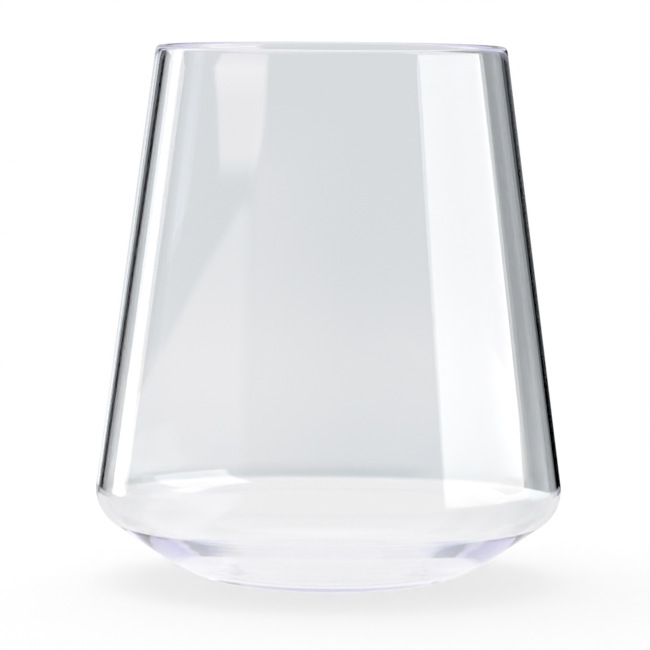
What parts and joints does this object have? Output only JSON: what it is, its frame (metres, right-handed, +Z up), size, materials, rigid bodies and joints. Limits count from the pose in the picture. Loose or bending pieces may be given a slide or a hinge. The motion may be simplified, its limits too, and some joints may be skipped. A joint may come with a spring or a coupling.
{
  "type": "stemless wine glass",
  "caption": "Clear stemless wine glass: thin tapered bowl with a rounded shoulder, fused to a hollow cone-shaped base that stands on a small round foot.",
  "frame": {"origin": "centre of the foot, on the surface the glass stands on", "axes": "+Z up along the axis of the glass, towards the lip; the glass is round, so X and Y are alike"},
  "size_m": [0.095, 0.095, 0.1093],
  "materials": {
    "clear_glass": "polished clear glass with a faint lavender cast where it is seen edge on"
  },
  "bodies": {
    "root": {"bowl": "clear_glass", "base": "clear_glass"}
  },
  "joints": []
}
